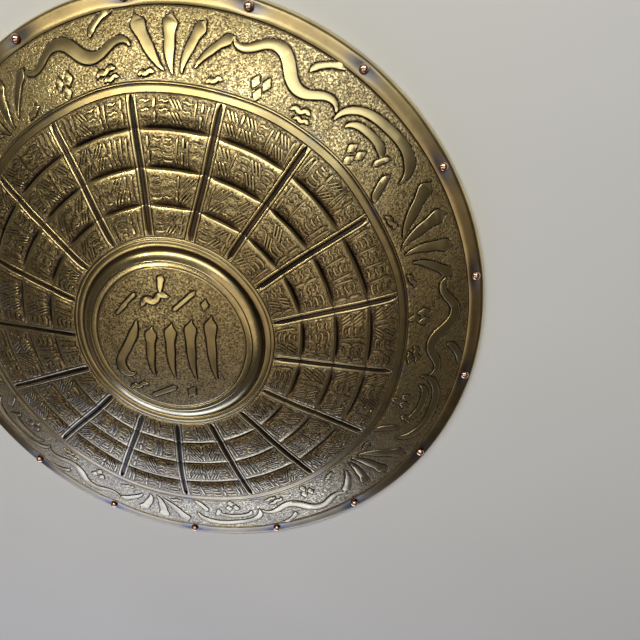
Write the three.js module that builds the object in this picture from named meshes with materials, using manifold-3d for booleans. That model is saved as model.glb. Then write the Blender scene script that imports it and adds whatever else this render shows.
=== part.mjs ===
// A round buckler shield, lying face up on its rim: one embossed brass sheet with a low centre
// boss, four rows of pillowed panels between straight chased grooves, a plain border and a rim
// that is turned down and hemmed under, held by a ring of domed copper rivets.
// Millimetres, +Z up. The origin is at the centre of the rim, on the surface the shield lies on.

import * as THREE from 'three';
import { mergeVertices } from 'three/addons/utils/BufferGeometryUtils.js';
import Module from 'manifold-3d';

const wasm = await Module();
wasm.setup();

// Driving dimensions
const RIM_RADIUS = 250;
const DOME_RISE = 52; // from the dome's foot to where its crown would be, without the boss
const DOME_FOOT = 2.5; // height of the dome's foot above the surface the shield lies on
const SHEET = 1.6; // thickness of the brass sheet
const SECTORS = 17; // panels in each row, and rivets round the rim
const FIRST_ANGLE = Math.PI / 2; // one groove and one rivet stand on +Y

// The panel band: straight grooves run outwards between its ends, and row grooves cross them
const ROW_EDGES = [81.75, 104.25, 130.5, 156.75, 179.5];
const GROOVE_HALF_WIDTH = 2.1;
const GROOVE_DEPTH = 1.8;
const ROW_GROOVE_DEPTH = 2.0;
const ROW_GROOVE_END_DEPTH = 0.5; // where a row groove runs out beside a straight one
const SHOULDER_WIDTH = 2.6; // the rounded outer edge of a panel
const DIP_WIDTH = 7; // the slope at a panel's inner end
const PILLOW_RISE = 0.9;

// The boss: a slightly crowned field, a rounded shoulder and a narrow channel at its foot
const BOSS_FIELD_RADIUS = 60;
const BOSS_RADIUS = 73.2;
const BOSS_TOP = 57.6;
const BOSS_CROWN = 3.4; // how far the field's edge lies below its centre
const CHANNEL_FLOOR = 48.6;
const CHANNEL_WIDTH = 0.6;
const CHANNEL_SLOPE = 1.8; // width of the slope from the channel up to the flange
const FIELD_STEPS = 2;
const SHOULDER_STEPS = 3;

// The plain ring and the border, then the rim
const RING_OUTER = 185.25;
const BORDER_MIDDLE = 211;
const BORDER_OUTER = 236;
const RIM_FLAT_INNER = 239; // between these two the rim's top is a plain cone, for the rivets
const RIM_FLAT_OUTER = 246;
const RIM_FLAT_HEIGHT = 7.9; // at RIM_FLAT_INNER
const RIM_SLOPE = 0.2; // fall of that cone, in mm for each mm outwards
const RIM_THICKNESS = 3.2; // the sheet and its hem
const HEM_INNER = 234.4;
const LIP_FLAT_INNER = 246.2; // the flat that the shield lies on
const LIP_FLAT_OUTER = 249.2;
const LIP_CORNER_HEIGHT = 0.9;
const LIP_INNER_RADIUS = 245.2;
const HEM_LIFT = 0.5; // how much the hem's inner end stands above the line of its underside
const BEND_STEPS = [[0.66, 0.76], [0.94, 0.42]]; // points of the bend: share of its width, of its height

// Rivets
const RIVET_CIRCLE = 242.7;
const RIVET_HEAD_RADIUS = 3.5;
const RIVET_HEAD_HEIGHT = 2.9;
const RIVET_SHANK_RADIUS = 1.5;
const RIVET_HOLE_RADIUS = 1.95;
const RIVET_TAIL_RADIUS = 2.4;
const RIVET_TAIL_HEIGHT = 1.1;
const RIVET_SIDES = 8;
const FIT_GAP = 0.3;

const SECTOR = (2 * Math.PI) / SECTORS;
const FINE_STEPS = 4; // points round a sector where the panels are, and further out
const COARSE_STEPS = 2; // and on the boss

const brass = new THREE.MeshStandardMaterial({ color: 0x8a6a2c, roughness: 0.42, metalness: 1 });
const copper = new THREE.MeshStandardMaterial({ color: 0xb8714c, roughness: 0.3, metalness: 1 });

/** Height of the plain dome at a radius. */
function domeHeight(radius) {
  return DOME_FOOT + DOME_RISE * (1 - (radius / RIM_RADIUS) ** 2);
}

/** Height of the rim's cone at a radius. */
function rimHeight(radius) {
  return RIM_FLAT_HEIGHT - RIM_SLOPE * (radius - RIM_FLAT_INNER);
}

/**
 * How far the embossing raises (or lowers) the face in the panel band.
 * @param {number} radius distance from the shield's axis
 * @param {number} offset distance along the circle from the nearest straight groove
 */
function panelRelief(radius, offset) {
  const bandInner = ROW_EDGES[0];
  const bandOuter = ROW_EDGES[ROW_EDGES.length - 1];
  if (radius <= bandInner || radius >= bandOuter) return 0;
  if (offset < GROOVE_HALF_WIDTH / 2) return -GROOVE_DEPTH;
  const across = Math.min(1, offset / ((SECTOR * radius) / 2));
  const nearestEdge = ROW_EDGES.find((edge) => Math.abs(edge - radius) < 0.01);
  if (nearestEdge !== undefined) {
    return -(ROW_GROOVE_END_DEPTH + (ROW_GROOVE_DEPTH - ROW_GROOVE_END_DEPTH) * across);
  }
  const outerEdge = ROW_EDGES.find((edge) => edge > radius);
  const innerEdge = ROW_EDGES[ROW_EDGES.indexOf(outerEdge) - 1];
  const along = (radius - innerEdge) / (outerEdge - innerEdge);
  return PILLOW_RISE * Math.sin(Math.PI * along) ** 0.5 * across;
}

/**
 * One closed ring of points round the axis.
 * @param {number} radius its radius
 * @param {number} steps points in each sector
 * @param {boolean} grooved whether points stand on the edges of the straight grooves
 * @param {(radius: number, offset: number) => number} height the height at each point
 */
function ring(radius, steps, grooved, height) {
  const points = [];
  for (let sector = 0; sector < SECTORS; sector += 1) {
    for (let step = 0; step < steps; step += 1) {
      let turn = (step / steps) * SECTOR;
      if (grooved && step === 1) turn = GROOVE_HALF_WIDTH / radius;
      if (grooved && step === steps - 1) turn = SECTOR - GROOVE_HALF_WIDTH / radius;
      const angle = FIRST_ANGLE + sector * SECTOR + turn;
      const offset = Math.min(turn, SECTOR - turn) * radius;
      const z = height(radius, offset);
      points.push(new THREE.Vector3(radius * Math.cos(angle), radius * Math.sin(angle), z));
    }
  }
  return points;
}

/** A plain ring at one height. */
function plainRing(radius, z, steps = FINE_STEPS) {
  return ring(radius, steps, false, () => z);
}

/** The radius and height of each step of the boss, from its centre to the channel's outer side. */
function bossProfile(thickness) {
  const profile = [];
  for (let step = 1; step <= FIELD_STEPS; step += 1) {
    const radius = (BOSS_FIELD_RADIUS * step) / FIELD_STEPS;
    const z = BOSS_TOP - BOSS_CROWN * (radius / BOSS_FIELD_RADIUS) ** 2 - thickness;
    profile.push([radius, z]);
  }
  const shoulderWidth = BOSS_RADIUS - BOSS_FIELD_RADIUS - thickness;
  const shoulderDrop = BOSS_TOP - BOSS_CROWN - CHANNEL_FLOOR;
  for (let step = 1; step <= SHOULDER_STEPS; step += 1) {
    const turn = (step / SHOULDER_STEPS) * (Math.PI / 2);
    const radius = BOSS_FIELD_RADIUS + shoulderWidth * Math.sin(turn);
    profile.push([radius, CHANNEL_FLOOR + shoulderDrop * Math.cos(turn) - thickness]);
  }
  const channelOuter = BOSS_RADIUS + CHANNEL_WIDTH + thickness / 2;
  profile.push([channelOuter, CHANNEL_FLOOR - thickness]);
  const flangeInner = channelOuter + CHANNEL_SLOPE;
  profile.push([flangeInner, domeHeight(flangeInner) - thickness]);
  return profile;
}

/** The radii of the rings that carry the panels; the face has one more ring at each dip. */
function panelRadii(withDips) {
  const radii = [ROW_EDGES[0]];
  for (let row = 1; row < ROW_EDGES.length; row += 1) {
    const inner = ROW_EDGES[row - 1];
    const outer = ROW_EDGES[row];
    if (withDips) radii.push(inner + DIP_WIDTH);
    radii.push((inner + outer + DIP_WIDTH - SHOULDER_WIDTH) / 2);
    radii.push(outer - SHOULDER_WIDTH);
    radii.push(outer);
  }
  return radii;
}

/** The rings of one side of the sheet, from the boss outwards to the edge of the border. */
function sheetRings(thickness, withDips) {
  const rings = bossProfile(thickness).map(([radius, z]) => plainRing(radius, z, COARSE_STEPS));
  const panelHeight = (radius, offset) => (
    domeHeight(radius) + panelRelief(radius, offset) - thickness
  );
  for (const radius of panelRadii(withDips)) {
    rings.push(ring(radius, FINE_STEPS, true, panelHeight));
  }
  for (const radius of [RING_OUTER, BORDER_MIDDLE]) {
    rings.push(plainRing(radius, domeHeight(radius) - thickness));
  }
  return rings;
}

/** The rings of the turned-down rim and its hem, from the border's edge round to the back. */
function rimRings() {
  const rimOuterHeight = rimHeight(RIM_FLAT_OUTER);
  const bend = RIM_RADIUS - RIM_FLAT_OUTER;
  return [
    plainRing(BORDER_OUTER, domeHeight(BORDER_OUTER)),
    plainRing(RIM_FLAT_INNER, RIM_FLAT_HEIGHT),
    plainRing(RIM_FLAT_OUTER, rimOuterHeight),
    ...BEND_STEPS.map(([out, up]) => plainRing(RIM_FLAT_OUTER + out * bend, up * rimOuterHeight)),
    plainRing(RIM_RADIUS, LIP_CORNER_HEIGHT),
    plainRing(LIP_FLAT_OUTER, 0),
    plainRing(LIP_FLAT_INNER, 0),
    plainRing(LIP_INNER_RADIUS, rimHeight(LIP_INNER_RADIUS) - RIM_THICKNESS),
    plainRing(RIM_FLAT_INNER, RIM_FLAT_HEIGHT - RIM_THICKNESS),
    plainRing(HEM_INNER, RIM_FLAT_HEIGHT - RIM_THICKNESS + HEM_LIFT),
    plainRing(HEM_INNER, domeHeight(HEM_INNER) - SHEET),
  ];
}

/** Joins two neighbouring rings; one may have twice the points of the other. */
function stitch(faces, from, to) {
  const shorter = Math.min(from.length, to.length);
  for (let step = 0; step < shorter; step += 1) {
    const next = (step + 1) % shorter;
    if (from.length === to.length) {
      faces.push([from[step], to[step], to[next]], [from[step], to[next], from[next]]);
    } else if (from.length < to.length) {
      const [left, middle, right] = [to[2 * step], to[2 * step + 1], to[2 * next]];
      faces.push([from[step], left, middle], [from[step], middle, from[next]]);
      faces.push([from[next], middle, right]);
    } else {
      const [left, middle, right] = [from[2 * step], from[2 * step + 1], from[2 * next]];
      faces.push([left, to[step], middle], [middle, to[step], to[next]]);
      faces.push([middle, to[next], right]);
    }
  }
}

/** The closed surface that runs through the rings, with a centre point at each end. */
function closedSurface(rings, topZ, bottomZ) {
  const faces = [];
  const top = new THREE.Vector3(0, 0, topZ);
  const bottom = new THREE.Vector3(0, 0, bottomZ);
  const first = rings[0];
  const last = rings[rings.length - 1];
  first.forEach((point, index) => faces.push([top, point, first[(index + 1) % first.length]]));
  for (let index = 1; index < rings.length; index += 1) stitch(faces, rings[index - 1], rings[index]);
  last.forEach((point, index) => faces.push([point, bottom, last[(index + 1) % last.length]]));
  return new THREE.BufferGeometry().setFromPoints(faces.flat());
}

/** A closed geometry as a manifold-3d solid. */
function solidOf(geometry) {
  const bare = geometry.clone();
  bare.deleteAttribute('normal');
  bare.deleteAttribute('uv');
  const merged = mergeVertices(bare, 1e-4);
  const vertProperties = Float32Array.from(merged.attributes.position.array);
  const triVerts = Uint32Array.from(merged.index.array);
  return new wasm.Manifold(new wasm.Mesh({ numProp: 3, vertProperties, triVerts }));
}

/** A manifold-3d solid as a geometry. */
function geometryOf(solid) {
  const mesh = solid.getMesh();
  const geometry = new THREE.BufferGeometry();
  geometry.setAttribute('position', new THREE.BufferAttribute(mesh.vertProperties, 3));
  geometry.setIndex(new THREE.BufferAttribute(mesh.triVerts, 1));
  geometry.computeVertexNormals();
  return geometry;
}

/** Where a rivet stands: on the rim's cone, square to it, its own Y axis pointing up. */
function rivetPlace(index) {
  const turn = new THREE.Matrix4().makeRotationZ(FIRST_ANGLE + index * SECTOR);
  const shift = new THREE.Matrix4().makeTranslation(RIVET_CIRCLE, 0, rimHeight(RIVET_CIRCLE));
  const tilt = new THREE.Matrix4().makeRotationY(Math.atan(RIM_SLOPE));
  const upright = new THREE.Matrix4().makeRotationX(Math.PI / 2);
  return turn.multiply(shift).multiply(tilt).multiply(upright);
}

/** The brass body, with a clear hole for each rivet's shank. */
function bodyGeometry() {
  const face = sheetRings(0, true);
  const back = sheetRings(SHEET, false).reverse();
  const surface = closedSurface([...face, ...rimRings(), ...back], BOSS_TOP, BOSS_TOP - SHEET);
  let solid = solidOf(surface);
  const drill = new THREE.CylinderGeometry(
    RIVET_HOLE_RADIUS, RIVET_HOLE_RADIUS, 4 * RIM_THICKNESS, RIVET_SIDES,
  );
  for (let index = 0; index < SECTORS; index += 1) {
    solid = solid.subtract(solidOf(drill.clone().applyMatrix4(rivetPlace(index))));
  }
  return geometryOf(solid);
}

/** A rivet about its own Y axis: domed head, shank and clenched tail, the rim's top at zero. */
function rivetGeometry() {
  const headSteps = 3;
  const profile = [];
  for (let step = 0; step <= headSteps; step += 1) {
    const turn = (step / headSteps) * (Math.PI / 2);
    const height = FIT_GAP + (RIVET_HEAD_HEIGHT - FIT_GAP) * Math.cos(turn);
    profile.push(new THREE.Vector2(RIVET_HEAD_RADIUS * Math.sin(turn), height));
  }
  const tailTop = -RIM_THICKNESS * Math.cos(Math.atan(RIM_SLOPE)) - FIT_GAP;
  profile.push(new THREE.Vector2(RIVET_SHANK_RADIUS, FIT_GAP));
  profile.push(new THREE.Vector2(RIVET_SHANK_RADIUS, tailTop));
  profile.push(new THREE.Vector2(RIVET_TAIL_RADIUS, tailTop));
  profile.push(new THREE.Vector2(0, tailTop - RIVET_TAIL_HEIGHT));
  return new THREE.LatheGeometry(profile.reverse(), RIVET_SIDES);
}

const shield = new THREE.Group();

const body = new THREE.Mesh(bodyGeometry(), brass);
body.name = 'shield_body';
shield.add(body);

const rivets = new THREE.Group();
for (let index = 0; index < SECTORS; index += 1) {
  const rivet = new THREE.Mesh(rivetGeometry(), copper);
  rivet.name = `rim_rivet_${String(index + 1).padStart(2, '0')}`;
  rivet.applyMatrix4(rivetPlace(index));
  rivets.add(rivet);
}
shield.add(rivets);

export default shield;
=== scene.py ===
"""The looks of a round buckler shield of embossed, antiqued brass, lying face up on its rim.

Shapes are worked out in millimetres in the shield's own frame (+Z out of the face, the origin at the
centre of the rim on the surface it lies on), and become metres when a Blender mesh is made of them.
"""

import logging
import math
from dataclasses import dataclass, field
from enum import Enum

import bpy
import numpy as np
from mathutils import Matrix, Vector
from mathutils.kdtree import KDTree


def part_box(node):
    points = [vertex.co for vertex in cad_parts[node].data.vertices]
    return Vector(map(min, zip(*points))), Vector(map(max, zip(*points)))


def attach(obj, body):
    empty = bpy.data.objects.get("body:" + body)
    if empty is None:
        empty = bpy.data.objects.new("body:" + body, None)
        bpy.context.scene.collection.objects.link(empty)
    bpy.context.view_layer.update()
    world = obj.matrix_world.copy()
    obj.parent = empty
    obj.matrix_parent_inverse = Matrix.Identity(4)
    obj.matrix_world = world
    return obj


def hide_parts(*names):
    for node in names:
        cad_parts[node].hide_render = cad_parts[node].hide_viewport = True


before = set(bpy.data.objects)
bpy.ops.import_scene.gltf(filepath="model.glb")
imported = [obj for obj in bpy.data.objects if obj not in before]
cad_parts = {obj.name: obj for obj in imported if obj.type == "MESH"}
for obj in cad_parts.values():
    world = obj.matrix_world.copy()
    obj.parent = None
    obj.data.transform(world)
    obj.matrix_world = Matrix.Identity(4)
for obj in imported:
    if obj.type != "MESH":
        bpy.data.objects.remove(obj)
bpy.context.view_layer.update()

MM = 0.001  # metres in a millimetre
BODY = "root"
BODY_NODE = "shield_body"
SEED = 1707

log = logging.getLogger("buckler")


# ---------------------------------------------------------------------------------------------
# The form of the sheet
# ---------------------------------------------------------------------------------------------


def ramp(value: np.ndarray, low: float, high: float) -> np.ndarray:
    """A smooth step from 0 at low to 1 at high.

    Args:
        value: Where to read the step.
        low: Where it starts to rise; it may lie above high, which turns the step round.
        high: Where it is full.

    Returns:
        The step's height at each value.
    """
    share = np.clip((np.asarray(value, float) - low) / (high - low), 0.0, 1.0)
    return share * share * (3.0 - 2.0 * share)


@dataclass(frozen=True)
class Line:
    """A fine line engraved in a circle round the boss."""

    radius: float
    half_width: float = 0.5
    depth: float = 0.42


@dataclass(frozen=True)
class Swell:
    """A slow wave over the face, seen from above; inf stands for no run in that direction."""

    x_run: float
    y_run: float
    phase: float
    size: float

    def at(self, x: np.ndarray, y: np.ndarray) -> np.ndarray:
        """The wave's height at each place."""
        return self.size * np.sin(x / self.x_run + y / self.y_run + self.phase)


@dataclass(frozen=True)
class Tones:
    """How much darker or brighter than the plain ground each part of the face is."""

    plain_metal: float = 0.42
    ring: float = 0.24
    border_ground: float = 0.09
    row_line: float = 1.25
    # painted shade: the slope that runs down into each row groove from outside is darkened
    row_shade: float = 0.36
    groove: float = 1.55
    crease: float = 0.95
    shoulder: float = 0.16
    rim: float = 0.12
    rim_streak: float = 0.32
    rim_edge: float = 0.4
    dent: float = 0.25


@dataclass(frozen=True)
class ShieldForm:
    """The smooth surface of the embossed sheet, in millimetres."""

    rim_radius: float
    boss_top: float
    sectors: int = 17
    first_angle: float = math.pi / 2
    dome_rise: float = 52.0
    dome_foot: float = 2.5
    sheet: float = 1.6
    row_edges: tuple[float, ...] = (81.75, 104.25, 130.5, 156.75, 179.5)
    groove_half_width: float = 2.0
    groove_floor: float = 0.8
    groove_depth: float = 1.8
    groove_run_out: float = 5.0
    row_groove_depth: float = 2.3
    row_groove_fade: float = 13.0
    shoulder_width: float = 2.8
    burr: float = 0.25
    dip_width: float = 7.5
    pillow_rise: float = 1.1
    strip_edge: float = 3.8
    boss_field: float = 60.0
    boss_radius: float = 73.2
    boss_crown: float = 3.4
    channel_floor: float = 48.6
    channel_width: float = 0.4
    channel_slope: float = 1.8
    ring_outer: float = 185.25
    border_outer: float = 236.0
    rim_flat_inner: float = 239.0
    rim_flat_outer: float = 246.0
    rim_flat_height: float = 7.9
    rim_slope: float = 0.2
    rim_thickness: float = 3.2
    hem_inner: float = 234.4
    rivet_circle: float = 242.7
    dent_depth: float = 0.75
    tones: Tones = Tones()
    stray_x: tuple[Swell, ...] = (Swell(math.inf, 17.0, 0.7, 0.5), Swell(11.0, -23.0, 0.0, 0.3))
    stray_y: tuple[Swell, ...] = (Swell(19.0, math.inf, 2.1, 0.5), Swell(29.0, 13.0, 0.0, 0.3))
    unevenness: tuple[Swell, ...] = (
        Swell(21.0, 37.0, 0.0, 0.13),
        Swell(-31.0, 18.0, 1.3, 0.13),
        Swell(7.3, -9.1, 0.4, 0.05),
        Swell(8.9, 6.7, 0.0, 0.05),
    )

    @property
    def sector(self) -> float:
        """The angle of one sector of panels."""
        return 2.0 * math.pi / self.sectors

    @property
    def lines(self) -> tuple[Line, ...]:
        """The engraved circles.

        Returns:
            The lines, from the boss outwards.
        """
        return (
            Line(self.boss_field + 0.6, 0.55, 0.4),
            Line(self.boss_field + 5.6, 0.5, 0.35),
            Line(self.row_edges[0] - 2.6, 0.45, 0.3),
            Line(self.row_edges[0], 0.45, 0.35),
            Line(self.row_edges[-1], 0.45, 0.35),
            Line(self.ring_outer, 0.5, 0.45),
            Line(self.ring_outer + 1.7, 0.4, 0.3),
            Line(self.border_outer, 0.5, 0.45),
        )

    def dome(self, radius: np.ndarray) -> np.ndarray:
        """The height of the plain dome at a radius."""
        return self.dome_foot + self.dome_rise * (1.0 - (radius / self.rim_radius) ** 2)

    def boss(self, radius: np.ndarray) -> np.ndarray:
        """The height of the boss: its crowned field, its rounded shoulder and the channel round it.

        Args:
            radius: Distances from the axis, up to the flange.

        Returns:
            The height at each radius.
        """
        crown = self.boss_top - self.boss_crown * (radius / self.boss_field) ** 2
        width = self.boss_radius - self.boss_field
        drop = self.boss_top - self.boss_crown - self.channel_floor
        turn = np.clip((radius - self.boss_field) / width, 0.0, 1.0)
        shoulder = self.channel_floor + drop * np.sqrt(1.0 - turn**2)
        channel_outer = self.boss_radius + self.channel_width
        rise = ramp(radius, channel_outer, channel_outer + self.channel_slope)
        flange = self.channel_floor + (self.dome(radius) - self.channel_floor) * rise
        height = np.where(radius < self.boss_field, crown, shoulder)
        return np.where(radius > self.boss_radius, flange, height)

    def rim(self, radius: np.ndarray) -> np.ndarray:
        """The height of the rim's top: a slack curve, the cone for the rivets and the bend.

        Args:
            radius: Distances from the axis, from the border outwards.

        Returns:
            The height at each radius.
        """
        cone = self.rim_flat_height - self.rim_slope * (radius - self.rim_flat_inner)
        edge = self.dome(np.asarray(self.border_outer))
        blend = ramp(radius, self.border_outer, self.rim_flat_inner + 1.0)
        top = edge + (cone - edge) * blend
        bend = np.clip(
            (radius - self.rim_flat_outer) / (self.rim_radius - self.rim_flat_outer), 0.0, 1.0
        )
        return top * np.sqrt(1.0 - bend**2)

    def groove_offset(self, radius: np.ndarray, angle: np.ndarray) -> np.ndarray:
        """The distance along the circle from the nearest straight groove."""
        turn = (angle - self.first_angle) % self.sector
        return np.minimum(turn, self.sector - turn) * radius

    def panels(self, radius: np.ndarray, offset: np.ndarray) -> np.ndarray:
        """How far the embossing of the panel band lifts or sinks the dome.

        Args:
            radius: Distances from the axis.
            offset: Distances from the nearest straight groove.

        Returns:
            The relief at each point, 0 outside the band.
        """
        inner, outer = self.row_edges[0], self.row_edges[-1]
        half = self.sector * radius / 2.0
        across = np.clip((offset - self.groove_half_width) / (half - self.groove_half_width), 0, 1)
        pillow = np.sin(across * math.pi / 2.0) ** 0.6
        relief = np.zeros_like(radius)
        for low, high in zip(self.row_edges, self.row_edges[1:]):
            along = np.clip((radius - low) / (high - low), 0.0, 1.0)
            relief += self.pillow_rise * pillow * np.sin(math.pi * along) ** 0.6
        lens = 0.12 + 0.88 * ramp(offset, self.groove_half_width, self.row_groove_fade)
        for edge in self.row_edges[1:-1]:
            beyond = np.clip((radius - edge) / self.dip_width, 0.0, 1.0)
            within = np.clip((edge - radius) / self.shoulder_width, 0.0, 1.0)
            dip = (1.0 - beyond) ** 2.2
            shoulder = 1.0 - np.sqrt(1.0 - (1.0 - within) ** 2)
            relief -= self.row_groove_depth * lens * np.where(radius >= edge, dip, shoulder)
            relief += self.burr * lens * np.exp(-(((radius - edge + 1.6) / 0.8) ** 2))
        run_out = self.run_out(radius)
        wall = ramp(offset, self.groove_half_width * run_out, self.groove_floor * run_out - 0.01)
        relief -= self.groove_depth * np.minimum(1.0, 2.0 * run_out) * wall
        relief += self.burr * run_out * np.exp(-(((offset - 2.7) / 0.6) ** 2))
        inside = (radius > inner - 0.01) & (radius < outer + 0.01)
        return np.where(inside, relief, 0.0)

    def run_out(self, radius: np.ndarray) -> np.ndarray:
        """How wide the straight grooves are.

        Args:
            radius: Distances from the axis.

        Returns:
            The share at each, from 0 past the grooves' pointed ends to 1 along their length.
        """
        inner, outer = self.row_edges[0] + 0.8, self.row_edges[-1] - 0.8
        ends = np.minimum(radius - inner, outer - radius) / self.groove_run_out
        return np.sqrt(np.clip(ends, 0.0, 1.0))

    def patina_and_painted_shade(self, radius: np.ndarray, angle: np.ndarray) -> np.ndarray:
        """How dark or how rubbed the face is, with painted shade on the slope past each row groove: -1 for
        black recesses, 0 for the ground, 1 for polish.

        Args:
            radius: Distances from the axis.
            angle: Angles round it.

        Returns:
            The value at each point, without that of the stippling.
        """
        tones = self.tones
        offset = self.groove_offset(radius, angle)
        value = np.full_like(radius, tones.plain_metal)
        border = tones.border_ground * (radius > self.ring_outer)
        value = np.where(self.ground(radius, angle) > 0.5, border, value)
        value = np.where((radius > self.row_edges[-1]) & (radius < self.ring_outer), tones.ring, value)
        lens = ramp(offset, self.groove_half_width, self.row_groove_fade)
        inside = (radius > self.row_edges[0]) & (radius < self.row_edges[-1])
        for edge in self.row_edges[1:-1]:
            line = ramp(radius, edge - 0.4, edge + 0.2) * ramp(radius, edge + 1.9, edge + 0.9)
            # painted shade on the slope past the groove, besides the patina of the line in it
            shade = ramp(radius, edge - 0.2, edge + 0.4) * ramp(radius, edge + 8.0, edge + 1.5)
            value = value - (tones.row_line * line + tones.row_shade * shade) * (0.2 + 0.8 * lens)
        run_out = self.run_out(radius)
        groove = ramp(offset, (self.groove_half_width - 0.2) * run_out, self.groove_floor * run_out - 0.01)
        value = np.where(inside, value - tones.groove * groove * (run_out > 0), value)
        foot, top = self.boss_radius, self.boss_field
        crease = ramp(radius, foot - 2.6, foot - 0.2) * ramp(radius, foot + 1.8, foot + 0.6)
        shoulder = ramp(radius, top + 1.0, top + 2.5) * ramp(radius, foot - 1.7, foot - 4.2)
        value = value - tones.crease * crease + tones.shoulder * shoulder
        rim = ramp(radius, self.border_outer, self.border_outer + 2.5)
        streak = ramp(radius, self.rim_flat_inner - 1.0, self.rim_flat_inner + 2.5)
        streak = streak * ramp(radius, self.rim_flat_outer + 2.0, self.rim_flat_outer - 1.5)
        edge = ramp(radius, self.rim_radius - 2.6, self.rim_radius - 1.0)
        value = value - tones.rim * rim - tones.rim_streak * streak + tones.rim_edge * edge
        return value - tones.dent * self.dents(radius, angle)

    def strips(self, radius: np.ndarray, offset: np.ndarray) -> np.ndarray:
        """The fine line that runs along each side of a straight groove.

        Args:
            radius: Distances from the axis.
            offset: Distances from the nearest straight groove.

        Returns:
            The line's depth at each point.
        """
        inside = ramp(radius, self.row_edges[0], self.row_edges[0] + 1.0)
        inside = inside * ramp(radius, self.row_edges[-1], self.row_edges[-1] - 1.0)
        return 0.4 * inside * np.clip(1.0 - np.abs(offset - self.strip_edge) / 0.42, 0.0, 1.0)

    def dents(self, radius: np.ndarray, angle: np.ndarray) -> np.ndarray:
        """Where the rim is hammered in, round each rivet.

        Args:
            radius: Distances from the axis.
            angle: Angles round it.

        Returns:
            The share of the full depth at each point.
        """
        along = self.groove_offset(radius, angle)
        out = radius - self.rivet_circle + 0.6
        near = np.exp(-((along / 9.5) ** 2) - (out / 4.6) ** 2)
        return near * ramp(radius, self.rim_flat_outer + 3.0, self.rim_flat_outer)

    def stains(self, radius: np.ndarray, angle: np.ndarray) -> np.ndarray:
        """Where the brass is tarnished: round each rivet and past the end of each straight groove.

        Args:
            radius: Distances from the axis.
            angle: Angles round it.

        Returns:
            The share of blue-grey tarnish at each point.
        """
        along = self.groove_offset(radius, angle)
        rivet = np.exp(-((along / 13.0) ** 2) - ((radius - self.rivet_circle) / 5.0) ** 2)
        end = np.exp(-((along / 6.0) ** 2) - ((radius - self.ring_outer - 1.0) / 5.0) ** 2)
        return np.clip(1.1 * rivet + 0.55 * end, 0.0, 1.0)

    def face(self, radius: np.ndarray, angle: np.ndarray) -> np.ndarray:
        """The height of the face without its engraved lines.

        Args:
            radius: Distances from the axis.
            angle: Angles round it.

        Returns:
            The height at each point.
        """
        boss_edge = self.boss_radius + self.channel_width + self.channel_slope
        height = np.where(radius < boss_edge, self.boss(np.minimum(radius, boss_edge)), 0.0)
        middle = self.dome(radius) + self.panels(radius, self.groove_offset(radius, angle))
        height = np.where(radius >= boss_edge, middle, height)
        height = np.where(radius > self.border_outer, self.rim(radius), height)
        return height - self.dent_depth * self.dents(radius, angle)

    def engraving(self, radius: np.ndarray, angle: np.ndarray) -> np.ndarray:
        """The fine lines cut into the face.

        Args:
            radius: Distances from the axis.
            angle: Angles round it.

        Returns:
            Their depth at each point.
        """
        depth = self.strips(radius, self.groove_offset(radius, angle))
        for line in self.lines:
            near = np.clip(1.0 - np.abs(radius - line.radius) / line.half_width, 0.0, 1.0)
            depth = np.maximum(depth, line.depth * near)
        return depth

    def ground(self, radius: np.ndarray, angle: np.ndarray) -> np.ndarray:
        """Where the face is stippled.

        Args:
            radius: Distances from the axis.
            angle: Angles round it.

        Returns:
            The share of stippling at each point, from 0 on plain metal to 1.
        """
        boss = ramp(radius, self.boss_field - 0.4, self.boss_field - 1.2)
        border = ramp(radius, self.ring_outer + 1.8, self.ring_outer + 2.8)
        border = border * ramp(radius, self.border_outer - 0.4, self.border_outer - 1.2)
        offset = self.groove_offset(radius, angle)
        side = ramp(offset, self.strip_edge + 0.1, self.strip_edge + 0.7)
        rows = np.zeros_like(radius)
        for low, high in zip(self.row_edges, self.row_edges[1:]):
            plain = 0.6 if high == self.row_edges[-1] else self.shoulder_width
            row = ramp(radius, low + 0.3, low + 1.2) * ramp(radius, high - plain + 0.4, high - plain - 0.5)
            rows = np.maximum(rows, row)
        return np.clip(boss + border + rows * side, 0.0, 1.0)

    def waver(self, points: np.ndarray) -> np.ndarray:
        """Moves points by the small errors of hand work, the same for everything at one place.

        Args:
            points: Points in the frame, one a row.

        Returns:
            The points, moved sideways and in height by a few tenths of a millimetre.
        """
        x, y = points[:, 0], points[:, 1]
        radius = np.hypot(x, y)
        share = ramp(radius, 62.0, 95.0) * ramp(radius, self.border_outer, 225.0)
        lift = ramp(radius, 249.0, 243.0)
        moved = points.copy()
        moved[:, 0] += share * sum(swell.at(x, y) for swell in self.stray_x)
        moved[:, 1] += share * sum(swell.at(x, y) for swell in self.stray_y)
        moved[:, 2] += lift * sum(swell.at(x, y) for swell in self.unevenness)
        return moved


# ---------------------------------------------------------------------------------------------
# Meshes
# ---------------------------------------------------------------------------------------------


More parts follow.
